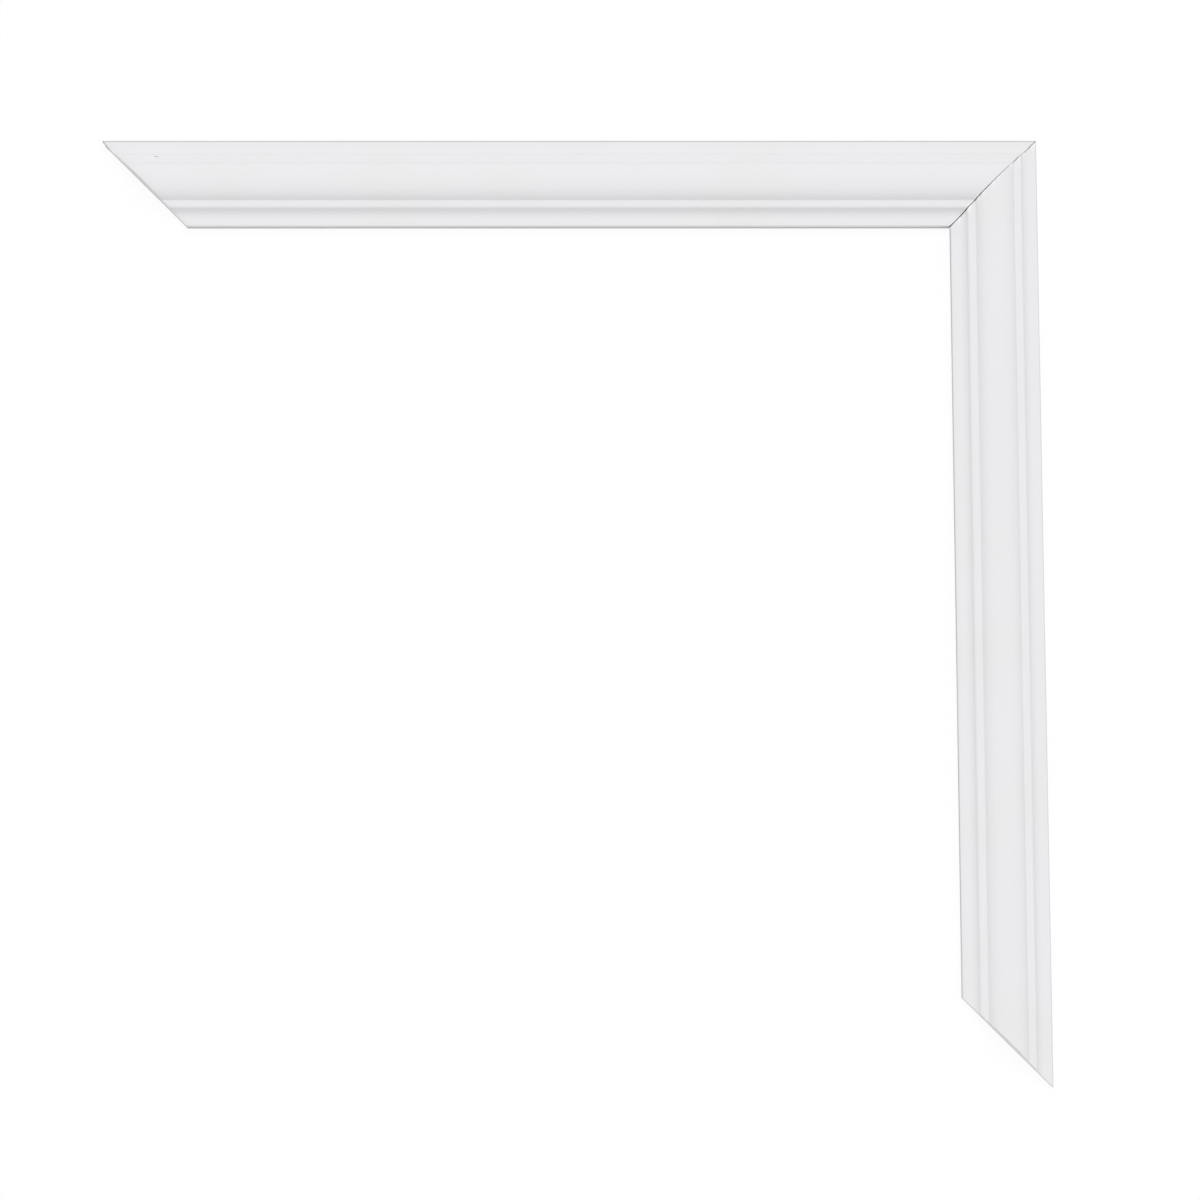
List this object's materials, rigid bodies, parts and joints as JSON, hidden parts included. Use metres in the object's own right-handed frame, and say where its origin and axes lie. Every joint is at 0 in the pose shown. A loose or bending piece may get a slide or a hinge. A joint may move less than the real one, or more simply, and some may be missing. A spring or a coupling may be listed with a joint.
{
  "type": "panel moulding corner",
  "caption": "Mitred corner of symmetrical panel moulding: flat edge bands, coves, fillets and a rounded crown, for framing a wall panel.",
  "frame": {"origin": "middle of the corner's square outline, on the plane of the flat backs", "axes": "+X along the top length towards the joint, +Y across the top length out of the frame, +Z out of the wall"},
  "size_m": [0.4968, 0.4976, 0.0168],
  "materials": {
    "white_plaster": "matte"
  },
  "bodies": {
    "root": {"top_length": "white_plaster", "side_length": "white_plaster"}
  },
  "joints": []
}
